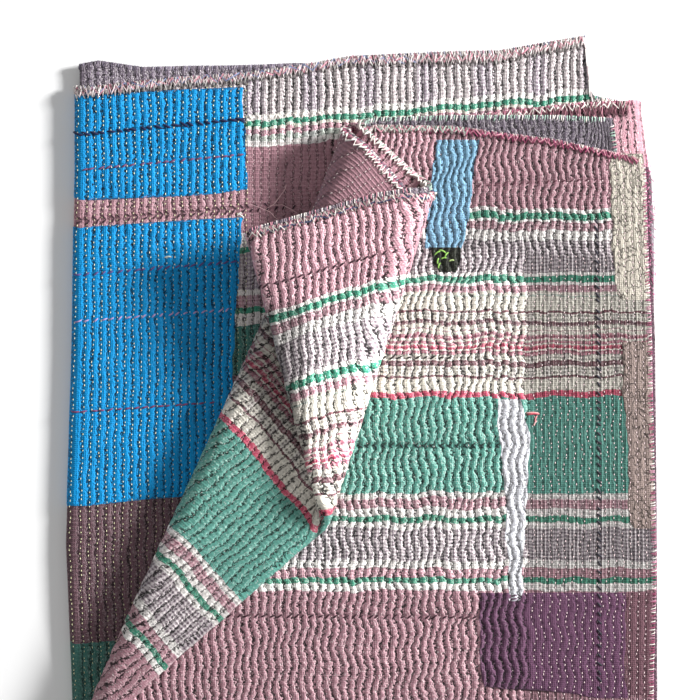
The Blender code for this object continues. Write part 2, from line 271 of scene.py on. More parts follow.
# Rows of heavier stitches across the ribs: each from its left end to its right end on a panel's front, by the
# place across the bundle and the height up it. They draw a groove across the ribs where they run level.
SEAMS = table(
    "panel left up_left right up_right colour length tilt",
    (T, 73, 177.5, 160, 182, "#5a2f3c", 3.6, 0.6), (T, 5, 67, 60, 67, "#2c2320", 4.2, 0.5),
    (T, -10, 11, 90, 11, "#1f3d36", 4.4, 0.7), (T, -10, 10, 90, 10, "#1d2f30", 4.0, -0.7),
    (T, -98, -99, 76, -100, "#3d1c28", 4.4, 0.6), (T, 152, 158, 152, -148, "#2b2833", 4.5, 0.75),
    (T, -232, 196, -94, 194, "#3d222c", 4.4, 0.5), (V, -74, 222, -18, 225, "#f3ebe4", 4.0, 0.9),
    (V, -74, 222, -18, 225, "#f3ebe4", 4.0, -0.9), (V, -188, 210.5, -76, 221, "#050c40", 6.2, -0.4),
    (V, -184, 188, -76, 198, "#75486f", 4.8, 0.3), (V, -186, 153.5, -42, 164.5, "#432a35", 3.8, 0.8),
    (V, -186, 156, -60, 166, "#432a35", 3.6, -0.8), (V, -186, 120, -80, 129, "#5a4c88", 4.6, 0.4),
    (V, -186, 90, -84, 98, "#b59ac6", 4.0, 0.5), (V, -186, 31.5, -95, 38, "#7d3f68", 4.4, 0.1),
)
SEAM_STOUT = 0.13  # the radius of its thread as a share of a stitch's length
GROOVE = 1.5  # how far to each side of a seam the ribs are pressed down
PRESSED = 0.6  # and by what share

FOLD_CALM = 11.0  # the rows run straight and low this near to a fold between two panels
LEAST_RIBS = 0.4
ASKEW = 0.2  # how much the rows of the corner that is turned over lean
ASKEW_FROM = 330.0
ASKEW_IN = (60.0, 240.0)  # the line where this sets in, and the distance over which it does
ASKEW_OUT = (620.0, 245.0)

# How a hand-sewn row strays sideways, in waves up it: how far, over what length, how much the waves sway to and
# fro from row to row and over what distance, and over what distance they fall behind.
BENDS = table(
    "far length sway sway_over behind_over",
    (1.25, 3.9, 1.9, 21.0, 27.0), (0.9, 12.0, 0.0, 1.0, 15.0), (0.42, 6.1 / (2 * np.pi), 2.1, 9.0, np.inf),
)
# The share of that by the row's line: the rows of the lower panels run straighter.
STRAYS = table("line share", (200, 1.0), (330, 0.6), (375, 0.5), (750, 0.5), (760, 0.3))


def calm(line):
    """A share that falls to nothing at the folds where the rows are hidden or pulled straight."""
    near = np.minimum(np.abs(line - 2 * PANEL), np.abs(line - 3 * PANEL))
    return ease(near / FOLD_CALM)


def drift(line, v):
    """How far a hand-sewn row strays sideways: slow bends that its neighbours share, and short ones."""
    bent = sum(bend.far * np.sin(v / bend.length + bend.sway * np.sin(line / bend.sway_over) + line / bend.behind_over)
               for bend in BENDS)
    here = ease((line - ASKEW_IN[0]) / ASKEW_IN[1]) * ease((ASKEW_OUT[0] - line) / ASKEW_OUT[1])
    return bent * calm(line) * column(STRAYS, "share", line) - ASKEW * np.maximum(v - ASKEW_FROM, 0) * here


def slack_table_share(line, v, name):
    """The share that a column of the table of slack parts gives at places of the flat cloth."""
    share = 1 + 0 * (line + v)
    for slack in SLACKS:
        across = ease(np.minimum(line - slack.u_from, slack.u_to - line) / SLACK_BLEND + 0.5)
        along = ease(np.minimum(v - slack.v_from, slack.v_to - v) / SLACK_BLEND + 0.5)
        share = mix(share, getattr(slack, name), across * along)
    return share


def tightness(line, v):
    """The ribs' share of their full height at places of the flat cloth."""
    share = slack_table_share(line, v, "ribs")
    for seam in SEAMS:
        start, end = (u_across(x, seam.panel) for x in (seam.right, seam.left))
        if end - start > RIB_PITCH:
            reach = v_at(np.interp(line, (start, end), (seam.up_right, seam.up_left)))
            near = np.exp(-((v - reach) / GROOVE) ** 2) * (line > start) * (line < end)
            share = share * (1 - PRESSED * near)
    return share * mix(LEAST_RIBS, 1, calm(line))


def relief(line, v):
    """The height of the quilted face over its valleys, at a stitch row's own line and a place up it."""
    rib = np.floor(line / RIB_PITCH)
    crown = np.abs(np.sin(np.pi * line / RIB_PITCH))
    pucker = np.sin(2 * np.pi * v / PUCKER_PITCH + OUT_OF_STEP * rib + 1.1 * np.sin(v / 9.0 + rib))
    swell = SWELL_RISE * np.sin(v / SWELL_LENGTH + 1.7 * rib)
    return (crown ** FULLNESS * (RIB_RISE + swell) + crown * PUCKER_RISE * pucker) * tightness(line, v)


def hem_at(line, half):
    """Where along the flat cloth the end hem of a half lies."""
    side = SELVEDGES[-1] if half > 0 else SELVEDGES[0]
    places = [side.first, *(row.u for row in HEMS[1:-1]), PANEL * PANELS - side.last]
    heights = [row.half_a if half > 0 else row.half_b for row in HEMS[1:-1]]
    return np.interp(line, places, [side.v, *(half * v_at(height) for height in heights), side.v])


def spans(*parts):
    """Evenly spaced places through each span, given as its start, end and greatest step."""
    runs = [np.linspace(start, end, int(np.ceil((end - start) / step)) + 1) for start, end, step in parts]
    return np.unique(np.concatenate(runs).round(4))


def drawn_in(line, v):
    """Sets the lines near a side hem in to where that hem runs, and lets the rest stray."""
    far = PANEL * PANELS
    first = column(SELVEDGES, "first", v) * np.clip(1 - line / EDGE_BLEND, 0, 1)
    last = column(SELVEDGES, "last", v) * np.clip(1 - (far - line) / EDGE_BLEND, 0, 1)
    free = ease(np.minimum(line, far - line) / EDGE_BLEND)
    return line + first - last + drift(line, v) * free


def face_height(line, v, side=1, quilted=1.0):
    """How high above the middle of the cloth a face lies, with its ribs, for a stitch row's line."""
    ribs = relief(line, v) - RIB_RISE / 2 * tightness(line, v)
    return side * (THICKNESS / 2 + ribs * quilted)


def new_piece(name, points, faces, material, marks, drawn, tone, flip=False):
    """An object from arrays: points in metres, faces of equal length, and for each point its place on the cloth
    as u, v and stitch line, how far the ribs are drawn up there, and how dark or pale the cloth is there: partly
    its own tone, partly painted light and shade."""
    data = bpy.data.meshes.new(name)
    faces = faces[:, ::-1] if flip else faces
    data.vertices.add(len(points))
    data.vertices.foreach_set("co", points.astype(np.float32).ravel())
    data.loops.add(faces.size)
    data.loops.foreach_set("vertex_index", faces.astype(np.int32).ravel())
    data.polygons.add(len(faces))
    data.polygons.foreach_set("loop_start", np.arange(0, faces.size, faces.shape[1], dtype=np.int32))
    data.update(calc_edges=True)
    data.validate()
    data.shade_smooth()
    cloth = data.attributes.new("cloth", "FLOAT_VECTOR", "POINT")
    cloth.data.foreach_set("vector", marks.astype(np.float32).ravel())
    for mark, values in (("drawn", drawn), ("tone", tone)):
        share = data.attributes.new(mark, "FLOAT", "POINT")
        share.data.foreach_set("value", values.astype(np.float32).ravel())
    data.materials.append(material)
    piece = bpy.data.objects.new(name, data)
    bpy.context.collection.objects.link(piece)
    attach(piece, "root")
    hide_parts(NODE)
    return piece


def grid_faces(rows, columns):
    """The quads between the points of a grid."""
    corner = np.arange(rows * columns).reshape(rows, columns)
    return np.stack([corner[:-1, :-1], corner[:-1, 1:], corner[1:, 1:], corner[1:, :-1]], axis=-1).reshape(-1, 4)


# How far the bands were woven off their usual place where the corner is turned over, by the place up the cloth.
SKEWS = table(
    "v top second",
    (120, 0, 27), (168, 0, 25), (230, 0, 19), (300, 0, 13), (330, 0, 8), (380, -8, 0), (440, -16, 0), (520, -16, 0),
)
SKEW_FROM = 200.0
SKEW_TO = 570.0
SKEW_BLEND = 70.0


def woven_at(u, v):
    """The place up the cloth that a place's bands belong to."""
    top = column(SKEWS, "top", v) * ease((u - SKEW_FROM) / SKEW_BLEND) * (u < PANEL)
    second = column(SKEWS, "second", v) * ease((SKEW_TO - u) / SKEW_BLEND) * (u >= PANEL)
    return v + top + second


# The edge of the cloth turns over from a face to the middle: how far out, and how much of the height is left.
RIM = ((0.7, 0.72), (1.0, 0.0))


def rimmed(places, first, last):
    """Places, how far each stands out past the edge of the cloth and its share of the height, with points that turn
    over the edge at the first place, the last or both."""
    run = np.stack([places, 0 * places, 0 * places + 1])
    for out, lift in RIM:
        if first:
            run = np.column_stack([(places[0], -out, lift), run])
        if last:
            run = np.column_stack([run, (places[-1], out, lift)])
    return run


def ply(name, half, side, lines, reaches, material, quilted=1.0):
    """One face of the cloth over some panels of one half: side is 1 for the front and -1 for the back."""
    lines, out_u, lift_u = rimmed(lines, lines[0] == 0, lines[-1] == PANEL * PANELS)
    shares, out_v, lift_v = rimmed(reaches / reaches[-1], False, True)
    line, share = np.meshgrid(lines, shares)
    v = share * hem_at(drawn_in(line, share * hem_at(line, half)), half)
    u = drawn_in(line, v)
    hem = HEM_RISE * ease(1 - np.abs(hem_at(u, half) - v) / HEM_WIDTH)
    lift = np.minimum(*np.meshgrid(lift_u, lift_v))
    height = face_height(line, v, side, quilted) + side * hem
    points = bundle(u + out_u, v + half * out_v[:, None], np.where(lift < 1, side * THICKNESS / 2 * lift, height))
    marks = np.stack([u, woven_at(u, v), line], axis=-1).reshape(-1, 3)
    piece = new_piece(name, points.reshape(-1, 3), grid_faces(*line.shape), material, marks,
                      quilted * tightness(line, v), slack_table_share(line, v, "tone"), flip=half * side > 0)
    return piece


# ---- Colours and materials. ----

def linear(code, alpha=1.0):
    """A colour for a shader from its sRGB hex code."""
    values = [int(code[place:place + 2], 16) / 255 for place in (1, 3, 5)]
    return (*(value / 12.92 if value <= 0.04045 else ((value + 0.055) / 1.055) ** 2.4 for value in values), alpha)


DUSTY_PINK = "#ad828c"
ROSE = "#b98a95"
MAUVE_BROWN = "#73555e"
GREEN = "#5f9d90"
DEEP_GREEN = "#467a71"
STRIPE_GREEN = "#3f8a72"
CREAM = "#e2dccf"
WHITE = "#ebe6e2"
BROWN = "#7a5158"
MAROON = "#4a2238"
RED = "#c9506b"
DULL_RED = "#b06a7a"
SLATE = "#6e6470"
GREY_LILAC = "#ab9ea4"
PALE_LILAC = "#b3a8aa"
GREY_GREEN = "#b7c1b6"
BLUE = "#0090d2"

# The striped cloth of the top two panels, from the end hem down: each band reaches down to a height up the
# bundle, and plaid is the share of the crossing warp threads that shows in it.
STRIPED_BANDS = table(
    "down_to colour plaid",
    (162.3, DUSTY_PINK, 0), (160.3, WHITE, 0.2), (155.9, STRIPE_GREEN, 0), (154.4, WHITE, 0.2),
    (149, DUSTY_PINK, 0.6), (142.5, WHITE, 0.7), (121.3, GREY_LILAC, 1), (119.3, WHITE, 0.3),
    (114.9, STRIPE_GREEN, 0), (112.8, WHITE, 0.2), (108.8, ROSE, 0.4), (106.7, CREAM, 0.3), (105.6, GREY_GREEN, 0.3),
    (96.9, CREAM, 0.35), (95.1, BROWN, 0.1), (90.7, CREAM, 0.9), (87.5, BROWN, 0.6), (84.9, CREAM, 0.4),
    (84.1, ROSE, 0.2), (81.7, CREAM, 0.4), (79, DULL_RED, 0.7), (77.8, CREAM, 0.4), (75.7, DULL_RED, 0.5),
    (74.6, CREAM, 0.4), (72.4, RED, 0.6), (71.3, CREAM, 0.4), (69.2, DULL_RED, 0.6), (64.6, CREAM, 1),
    (61.3, BROWN, 0.4), (55.3, CREAM, 1), (53.9, BROWN, 0.2), (45.4, CREAM, 0.3), (41.3, RED, 0.15),
    (-20.7, GREEN, 0), (-25.2, WHITE, 0.6), (-30.4, ROSE, 0.6), (-35.6, WHITE, 0.5), (-39.2, STRIPE_GREEN, 0.1),
    (-43.3, WHITE, 0.5), (-64, GREY_LILAC, 1), (-69.2, WHITE, 0.6), (-75, ROSE, 0.4), (-79.4, STRIPE_GREEN, 0.1),
    (-83.5, WHITE, 0.3), (BOTTOM, DUSTY_PINK, 0),
)

# The same for the lower two panels, where the weft rises a little across the cloth.
PLAIN_BANDS = table(
    "down_to colour plaid",
    (223, PALE_LILAC, 1), (219.4, WHITE, 0.3), (215.7, STRIPE_GREEN, 0), (213, CREAM, 0.4), (209.5, ROSE, 0.4),
    (206.6, GREY_GREEN, 0.5), (202.5, WHITE, 0.3), (147.5, DUSTY_PINK, 0), (137, WHITE, 0.6),
    (133.5, STRIPE_GREEN, 0), (110, GREY_LILAC, 1), (107, WHITE, 0.3), (99, ROSE, 0.6), (94, STRIPE_GREEN, 0),
    (88, WHITE, 0.4), (55, DEEP_GREEN, 0), (-110.6, MAUVE_BROWN, 0), (-200, DEEP_GREEN, 0), (BOTTOM, DUSTY_PINK, 0),
)
# The far half's top panels show only at their hems, where they are pink and maroon.
FAR_BANDS = table(
    "down_to colour plaid",
    (186, ROSE, 0), (112, MAROON, 0.1), (40, ROSE, 0.2), (BOTTOM, MAUVE_BROWN, 0),
)
MOST_STOPS = 32  # that one ramp holds


def add(tree, kind, *inputs, **named):
    """Adds a node of a kind, with its operation after a space. Its inputs get their values or links in order, or by
    names with a capital, and the other names are its settings. A node as a value stands for its first output."""
    kind, *operation = kind.split()
    node = tree.nodes.new("ShaderNode" + kind)
    settings = {name: value for name, value in named.items() if name.islower()}
    for name, value in (*zip(["operation"], operation), *settings.items()):
        setattr(node, name, value)
    for place, value in (*enumerate(inputs), *named.items()):
        value = value.outputs[0] if isinstance(value, bpy.types.Node) else value
        if isinstance(value, bpy.types.NodeSocket):
            tree.links.new(value, node.inputs[place])
        elif place not in settings:
            node.inputs[place].default_value = value
    return node


def new_material(name, values):
    """A new material, its shader with these values, and the tool that adds nodes to it."""
    made = bpy.data.materials.new(name)
    made.use_nodes = True
    shader = made.node_tree.nodes["Principled BSDF"]
    for socket, value in values.items():
        shader.inputs[socket].default_value = value
    return made, shader, partial(add, made.node_tree)


def waves(node, place, pitch):
    """A pattern that rises and falls once in each pitch along a place."""
    return node("Math SINE", node("Math MULTIPLY", place, 2 * np.pi / pitch))


def banded(node, reach, bands):
    """The colour and the plaid share of a cloth's bands where reach is the distance from the end fold."""
    chosen = None
    while bands:
        run, bands = bands[:MOST_STOPS], bands[MOST_STOPS:]
        low, high = v_at(run[-1].down_to), v_at(run[0].down_to) + RIB_PITCH
        ramp = node("ValToRGB", node("MapRange", reach, low, high))
        ramp.color_ramp.interpolation = "CONSTANT"
        stops = ramp.color_ramp.elements
        stops.remove(stops[1])
        for number, band in enumerate(reversed(run)):
            position = (v_at(band.down_to) - low) / (high - low)
            stop = stops.new(position) if number else stops[0]
            stop.position, stop.color = position, linear(band.colour, band.plaid)
        found = ramp.outputs["Color"], ramp.outputs["Alpha"]
        if chosen:
            below = node("Math LESS_THAN", reach, edge)
            found = tuple(node("MixRGB", below, *pair) for pair in zip(chosen, found))
        chosen, edge = found, low
    return chosen


# The weaving of a striped cloth: its bands, how they rise across it and from where, and how the plaid ones are
# crossed by groups of coloured warp threads and by single dark ones.
Stripes = namedtuple("Stripes", "bands rise rise_from pitch least share colour net line")
STRIPED = Stripes(STRIPED_BANDS, 0.0, 0.0, 11.0, 0.2, 0.45, "#84777f", 0.75, "#3a2c37")
PLAIN = Stripes(PLAIN_BANDS, 0.0725, u_across(-72.5, V), 37.0, 0.1, 0.7, "#8f8192", 0.5, "#6b5d63")

# Noises are drawn by how often they change in a millimetre.
JAG_OFTEN = 0.55  # the stitches tug a valley to and fro about every 2 mm
SLOW_OFTEN = 0.03  # the cloth has faded unevenly over some 30 mm
LINT_OFTEN = 0.9  # a tuft of lint is about 1 mm wide
RAGGED_OFTEN = 0.35  # and the edge of a band strays every 3 mm
JAG = 1.15  # how far a valley is tugged, in ribs
RAGGED = 1.0  # how far a band's edge strays, as threads do that slid before they were sewn
SLIPPED = 1.5  # how far a rib's bands may stand above or below its neighbour's
SAG = 4.0  # how far a band rises and sinks slowly as it runs across
MAROON_TOP = v_at(190.0)
MAROON_REACH = 6.0  # a maroon strip binds the quilt where the upper panels turn into the lower ones
MAROON_PLAID = 0.15
CHECK_PITCH = 2.3  # a real thread is 0.4 mm wide: the dark ones of a check are drawn coarser, so that they show
PALE_CHECK = 0.5
NET_PITCH = 2.6  # the open weave of the slack parts, drawn coarser too
FAINT = 0.3  # how much the threads of the fainter direction show in it
NET_SHADE = 0.14
NET_RISE = 0.16
DRAWN_OUT = (0.9, 0.06, 0.0)  # worn streaks are long and narrow, as the threads up the cloth are
FADED = (0.6, 1.4)  # the sums of two noises where the cloth is darkest and palest
LINT = 0.6
LINT_SEEN = (0.6, 0.72)  # the noise where lint starts and where it is thickest
LIT_EDGE_FROM = 0.6  # the part of each rib, on its side towards the key light, that gets a painted highlight
LIT_EDGE_PALER = 0.45  # how much paler that painted highlight makes it
LIT_EDGE_WHITE = 0.14  # and how much white is painted on it as a highlight
DEEPEST = 0.05  # the light that is left at the foot of a valley
CREST = 1.12  # how much paler than the cloth's own colour the crests are painted, beside the painted shade of the valleys
VALLEY = (0.05, 0.5)  # how high up a rib the painted shade at its foot reaches in full, and at all
ROUNDED = 0.6  # below 1 the crest of a rib is broader than its valley
WRINKLE_SIZE = 5.5  # a thin stiff patch puckers into creases this far apart
WRINKLE_WIDTH = 0.05
WEAVE_PITCH = 1.3  # drawn coarser than the real threads, so that it shows
WEAVE_RISE = 0.2
WAVE_TURN = np.pi / 10  # a wave texture of scale 1 repeats after this
FINE_RISE = 0.6
RELIEF = 1.5 * MM  # how deep the fine relief looks


def striped(node, stripes, cloth, u, v, row, drawn, fine, slow):
    ragged = node("TexNoise", Vector=cloth, Scale=RAGGED_OFTEN, Detail=2.0)
    reach = node("Math MULTIPLY_ADD", ragged, 2 * RAGGED, -RAGGED)
    sag = node("Math MULTIPLY_ADD", slow, 2 * SAG, -SAG)
    slip = node("TexWhiteNoise", W=node("Math FLOOR", row), noise_dimensions="1D")
    slip = node("Math MULTIPLY", node("Math MULTIPLY_ADD", slip, SLIPPED, -SLIPPED / 2), drawn)
    far = node("Math ABSOLUTE", v)
    climb = node("Math MULTIPLY_ADD", u, stripes.rise, -stripes.rise * stripes.rise_from)
    for part in (sag, slip, far, climb):
        reach = node("Math ADD", reach, part)
    colour, plaid = banded(node, reach, stripes.bands)
    strip = node("Math COMPARE", u, 2 * PANEL, MAROON_REACH)
    strip = node("Math MULTIPLY", strip, node("Math LESS_THAN", far, MAROON_TOP))
    colour = node("MixRGB", strip, colour, linear(MAROON))
    plaid = node("Math MAXIMUM", plaid, node("Math MULTIPLY", strip, MAROON_PLAID))
    crossed = node("Math ADD", waves(node, u, CHECK_PITCH), waves(node, reach, CHECK_PITCH))
    crossed = node("Math MULTIPLY", crossed, fine)
    for pattern, start, full, share, tint in (
        (waves(node, u, stripes.pitch), stripes.least, 0.9, stripes.share, stripes.colour),
        (crossed, 0.0, 0.7, stripes.net, stripes.line),
        (crossed, 0.0, -0.7, PALE_CHECK, WHITE),
    ):
        shown = node("Math MULTIPLY", node("MapRange", pattern, start, full, 0.0, share), plaid)
        colour = node("MixRGB", shown, colour, linear(tint))
    return colour


def cotton(name, stripes=None, plain=None, fade=0.16, valley=1.25, crackle=0.0, age=1.0):
    """Plain-woven cotton, soft from washing: matt, with a fine weave, its crests painted paler, its valleys painted
    dark as shade, and a painted highlight on the lit edge of each rib. It has faded unevenly by fade, the painted
    shade of its valleys is as dark as valley, and age gives it more lint, open weave and painted highlight."""
    made, shader, node = new_material(name, {
        "Roughness": 0.88, "Specular IOR Level": 0.25, "Sheen Weight": 0.08, "Sheen Roughness": 0.5})
    cloth = node("Attribute", attribute_name="cloth").outputs["Vector"]
    # The tone: partly the cloth's own, partly painted light and shade from the table of slack parts.
    drawn, tone_and_painted_light = (node("Attribute", attribute_name=mark).outputs["Fac"] for mark in ("drawn", "tone"))
    u, v, line = node("SeparateXYZ", cloth).outputs
    fine, slow, lint = (node("TexNoise", Vector=cloth, Scale=often, Detail=detail) for often, detail in (
        (JAG_OFTEN, 2.0), (SLOW_OFTEN, 3.0), (LINT_OFTEN, 1.0)))
    row = node("Math MULTIPLY", line, 1 / RIB_PITCH)
    jagged = node("Math ADD", row, node("Math MULTIPLY_ADD", fine, JAG, -JAG / 2))
    crown = node("Math ABSOLUTE", waves(node, jagged, 2))

    # The open weave of the slack parts: mostly along the warp in the top panel, and along the weft past it.
    weft = node("Math MULTIPLY_ADD", node("Math GREATER_THAN", u, PANEL), 1 - FAINT, FAINT)
    warp = node("Math MULTIPLY", waves(node, u, NET_PITCH), node("Math SUBTRACT", 1 + FAINT, weft))
    weft = node("Math MULTIPLY", waves(node, v, NET_PITCH), weft)
    net = node("Math ADD", warp, weft)
    slack = node("Math SUBTRACT", 1.0, drawn)
    for share in (slack, node("Math MULTIPLY", fine, 2 * age)):
        net = node("Math MULTIPLY", net, share)

    # A painted highlight of white on the lit edge of each rib, and lint.
    colour = striped(node, stripes, cloth, u, v, row, drawn, fine, slow) if stripes else linear(plain)
    edge = node("Math MULTIPLY", node("MapRange", waves(node, jagged, 1), LIT_EDGE_FROM), drawn)
    painted_highlight = node("Math MULTIPLY", edge, LIT_EDGE_WHITE * age)
    lint = node("MapRange", lint, *LINT_SEEN, 0.0, LINT)
    lint = node("Math MULTIPLY", lint, node("Math MULTIPLY", drawn, age))
    for white in (painted_highlight, lint):
        colour = node("MixRGB", white, colour, linear(WHITE))

    # The painted light and shade of the crests, the valleys and the creases, the painted highlight on the ribs' lit
    # edges, the cloth's uneven fading and its open weave.
    streaks = node("TexNoise", Vector=node("VectorMath MULTIPLY", cloth, DRAWN_OUT), Scale=1.0, Detail=3.0)
    streaks = node("Math ADD", slow, streaks)
    shade = node("MapRange", streaks, *FADED, 1 - fade, 1 + fade)
    # The valleys between the ribs are painted dark, as shade, where the ribs are drawn up.
    deep = node("MapRange", crown, *VALLEY, valley, 0.0, interpolation_type="SMOOTHSTEP")
    deep = node("Math MULTIPLY", deep, node("Math POWER", drawn, 0.5))
    light = node("Math MAXIMUM", node("Math SUBTRACT", CREST, deep), DEEPEST)
    # The lit edge of each rib is painted paler too, as a highlight.
    tone_and_painted_light = node("Math MULTIPLY", tone_and_painted_light, node("Math MULTIPLY_ADD", edge, LIT_EDGE_PALER, 1.0))
    shares = [light, node("Math MULTIPLY_ADD", net, NET_SHADE, tone_and_painted_light)]
    # The crease lines are painted dark, as shade in the creases.
    if crackle:
        wrinkle = node("TexNoise", Vector=cloth, Scale=1 / WRINKLE_SIZE, Detail=1.0)
        wrinkle = node("Math ABSOLUTE", node("Math SUBTRACT", wrinkle, 0.5))
        wrinkle = node("MapRange", wrinkle, 0.0, WRINKLE_WIDTH)
        shares.append(node("Math MULTIPLY_ADD", wrinkle, crackle, 1 - crackle))
    for share in shares:
        shade = node("Math MULTIPLY", shade, share)
    colour = node("VectorMath SCALE", colour, Scale=shade)

    # The fine relief: ribs, open weave, threads and crinkles.
    threads = [node("TexWave", Vector=cloth, Scale=WAVE_TURN / WEAVE_PITCH, Distortion=1.5,
                    bands_direction=way).outputs["Fac"] for way in "YX"]
    weave = node("Math MULTIPLY", node("Math MULTIPLY", *threads), WEAVE_RISE)
    weave = node("Math ADD", weave, node("Math MULTIPLY", fine, FINE_RISE))
    rib = node("Math MULTIPLY", node("Math POWER", crown, ROUNDED), drawn)
    height = node("Math ADD", node("Math MULTIPLY_ADD", net, NET_RISE, rib), weave)
    if crackle:
        height = node("Math MULTIPLY_ADD", wrinkle, crackle, height)
    bump = node("Bump", Height=height, Strength=1.0, Distance=RELIEF)
    for output, socket in ((colour, "Base Color"), (bump, "Normal")):
        made.node_tree.links.new(output.outputs[0], shader.inputs[socket])
    return made


striped_cotton = cotton("striped_sari_cotton", STRIPED)
plain_cotton = cotton("banded_sari_cotton", PLAIN)
far_cotton = cotton("maroon_sari_cotton", STRIPED._replace(bands=FAR_BANDS))
slate_cotton = cotton("slate_sari_cotton", plain=SLATE, fade=0.3, crackle=0.4, age=1.5)

# ---- The quilt, a face of a panel at a time. ----

REACH = 486.0  # the usual reach of a half from the end fold; the rows of points are shares of it
AT_FOLD = (0, 3, 0.7)  # they lie closer round the end fold
FINE_ROWS = spans(AT_FOLD, (3, REACH, ROW))
EVEN_ROWS = spans(AT_FOLD, (3, REACH, 9))
EDGE_ROWS = spans(AT_FOLD, (3, 440, 8), (440, REACH, 2))
TOP_ROWS = spans(AT_FOLD, (3, 380, 6), (380, REACH, ROW))
BACK_RIBS = 0.6  # the ribs stand less high on the back

ply("front_top", 1, 1, spans((0, PANEL, COLUMN)), FINE_ROWS, striped_cotton)
ply("front_second", 1, 1, spans((PANEL, 562.5, COLUMN), (562.5, 750, 5)), FINE_ROWS, striped_cotton)
ply("front_third_right", 1, 1, spans((750, 937.5, COLUMN)), TOP_ROWS, plain_cotton)
ply("front_third_left", 1, 1, spans((937.5, 1125, COLUMN)), FINE_ROWS, plain_cotton)
ply("front_fourth", 1, 1, spans((1125, 1200, COLUMN), (1200, 1500, 5)), EVEN_ROWS, plain_cotton)
ply("front_far_half_top", -1, 1, spans((0, 750, 2 * COLUMN)), EDGE_ROWS, far_cotton)
ply("front_far_half_low", -1, 1, spans((750, 1500, 2 * COLUMN)), EDGE_ROWS, plain_cotton)
ply("back_near_half", 1, -1, spans((0, 1500, 5)), EVEN_ROWS, slate_cotton, quilted=BACK_RIBS)
ply("back_far_half_top", -1, -1, spans((0, 750, 2 * COLUMN)), EDGE_ROWS, slate_cotton, quilted=BACK_RIBS)
ply("back_far_half_low", -1, -1, spans((750, 1500, 2 * COLUMN)), EDGE_ROWS, slate_cotton, quilted=BACK_RIBS)

# ---- The patches, sewn on with their edges turned under. ----

PATCH_RISE = 0.5  # a patch is thin cotton, and its turned edge doubles it
TURNED = 0.3  # how far outside its edge the rise starts
PATCH_TONE = 0.85
PATCH_WANDER = 0.7  # how far its cut edges stray, in waves of these lengths at the first and the last one
WANDER_LENGTHS = ((3.1, 7.7), (2.3, 5.9))
COLUMNS_BEFORE = 3  # the stitch rows stray, so a patch takes in some that belong past its sides
COLUMNS_PAST = 14
LEAST_WIDTH = COLUMN / 20  # faces that its edges squeeze to less are left out

# Each patch with how dark the painted shade in its valleys is, how far its cloth has creased, with its crease lines
# painted dark as shade, and its outline from the top down: how far up the bundle, and its left and right edges across
# it.
PATCHES = table(
    "name panel colour valley crackle edges",
    ("patch_sky", T, "#80acc8", 1.0, 0.3, (
        (207, 47.9, 75.7), (185, 45, 71.2), (162, 42.7, 69.9), (150, 41, 67), (137, 40.8, 64))),
    ("patch_floral", T, "#24271f", 0.9, 0, (
        (138.5, 44, 64), (132, 44.6, 63.6), (127, 46.5, 62.5), (121.8, 49, 61))),
    ("patch_cream", T, "#c1b9ac", 0.3, 0.65, (
        (198, 163, 186), (190, 162, 187), (168, 162, 188), (150, 163, 188), (140, 162, 188), (118, 164, 189),
        (108, 165, 189), (104, 168, 189))),
    ("patch_beige", T, "#91807a", 0.3, 0.6, (
        (77, 167, 192), (60, 168, 192), (46, 167, 192), (30, 169, 193), (17, 170.5, 193), (-10, 171, 194),
        (-26, 170.5, 194), (-40, 172, 194), (-43, 174, 190))),
    ("patch_lavender", T, "#e2e2e8", 0.75, 0.35, (
        (40.2, 87.5, 102.2), (29, 86.8, 105), (14, 88.5, 108), (-3, 90, 107), (-15, 90.5, 106), (-26, 93.5, 105.7),
        (-44, 91.5, 105), (-52, 93, 104), (-69, 94.5, 103), (-88, 94, 103.5), (-91, 95.5, 101))),
    ("patch_purple", T, "#613f58", 1.2, 0, (
        (-84.2, 75.5, 169), (-138, 76, 168), (-145.5, 80, 169), (-148, 128, 169.5), (-152, 150, 170))),
    ("patch_rust", T, "#6a4a53", 1.2, 0, (
        (-84, 169.5, 187), (-120, 169, 187), (-150, 170, 187))),
    ("patch_blue_upper", V, BLUE, 1.35, 0, (
        (241.5, -80, -76), (240, -120, -77.4), (238.5, -145, -77.2), (235.8, -200, -77), (200, -200, -75),
        (176, -200, -73.9), (172, -200, -100), (168.5, -200, -178))),
    ("patch_blue_lower", V, BLUE, 1.35, 0, (
        (157.5, -79, -76), (156, -110, -77.5), (154, -142, -78), (149.5, -200, -78), (126.8, -200, -79.2),
        (100, -200, -81.2), (60, -200, -83.5), (0, -200, -84), (-20, -200, -84), (-25, -200, -142.6),
        (-30.5, -200, -185))),
)


def patch_ends(patch):
    """How far up the bundle a patch starts and ends."""
    return patch.edges[-1][0], patch.edges[0][0]


def patch_sides(patch, v):
    """The first and last u of a patch at places up the cloth, as its uneven cut leaves them."""
    up, left, right = zip(*reversed(patch.edges))
    first, last = (
        u_across(np.interp(v - v_at(0), up, side), patch.panel) + PATCH_WANDER * np.sin(v / short) * np.cos(v / long)
        for side, (short, long) in zip((right, left), WANDER_LENGTHS))
    first = np.maximum(first, column(SELVEDGES, "first", v) - PATCH_RISE)
    return first, np.minimum(last, PANEL * (patch.panel + 1) + SIDE_ARC)


